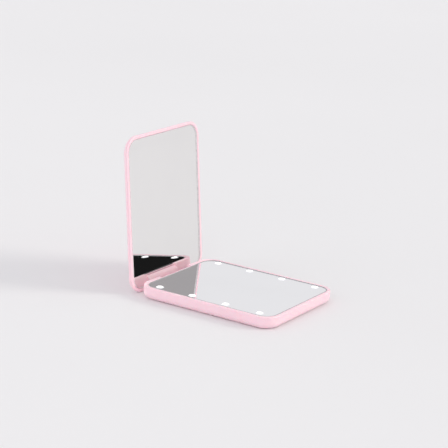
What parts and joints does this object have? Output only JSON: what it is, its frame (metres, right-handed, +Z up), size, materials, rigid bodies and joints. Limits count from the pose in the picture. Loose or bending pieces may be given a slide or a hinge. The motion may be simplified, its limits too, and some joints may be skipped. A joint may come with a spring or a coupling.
{
  "type": "folding pocket mirror",
  "caption": "Pink folding pocket mirror, standing open, with a full mirror in each leaf and small lit windows along the long sides of the lower one.",
  "frame": {"origin": "on the underside of the base, in the middle of the mirror when it is shut", "axes": "+X from the hinge to the opening edge, +Y along the hinge, +Z up out of the base mirror"},
  "size_m": [0.0972, 0.068, 0.0848],
  "materials": {
    "pink_plastic": "satin moulded",
    "mirror_glass": "polished",
    "foam_tape": "matte foam",
    "white_plastic": "matte",
    "circuit_board": "solder mask",
    "screw_steel": "plated",
    "cell_steel": "drawn and polished",
    "nickel_plate": "nickel plated",
    "black_component": "moulded epoxy",
    "led": "lit"
  },
  "bodies": {
    "base": {"base_shell": "pink_plastic", "base_mirror": "mirror_glass", "base_tape": "foam_tape", "light_frame": "white_plastic", "circuit_board": "circuit_board", "battery_door": "pink_plastic", "door_screw": "screw_steel", "hinge_pin": "screw_steel", "led_near_1": "led", "led_near_2": "led", "led_near_3": "led", "led_near_4": "led", "led_far_1": "led", "led_far_2": "led", "led_far_3": "led", "led_far_4": "led", "coin_cell_1": "cell_steel", "cell_contact_1": "nickel_plate", "coin_cell_2": "cell_steel", "cell_contact_2": "nickel_plate", "cell_bridge": "nickel_plate", "reed_sensor": "black_component", "chip_resistor_1": "black_component", "chip_resistor_2": "black_component", "chip_resistor_3": "black_component", "chip_resistor_4": "black_component", "board_screw_1": "screw_steel", "board_screw_2": "screw_steel", "board_screw_3": "screw_steel", "board_screw_4": "screw_steel", "base_magnet_1": "nickel_plate", "base_magnet_2": "nickel_plate"},
    "lid": {"lid_shell": "pink_plastic", "lid_mirror": "mirror_glass", "lid_tape": "foam_tape", "lid_magnet_1": "nickel_plate", "lid_magnet_2": "nickel_plate"}
  },
  "joints": [
    {"name": "lid_hinge", "type": "hinge", "parent": "base", "child": "lid", "pos_m": [-0.0399, 0, 0.0032], "axis": [0, -1, 0], "range_deg": [-95.5, 0]}
  ]
}
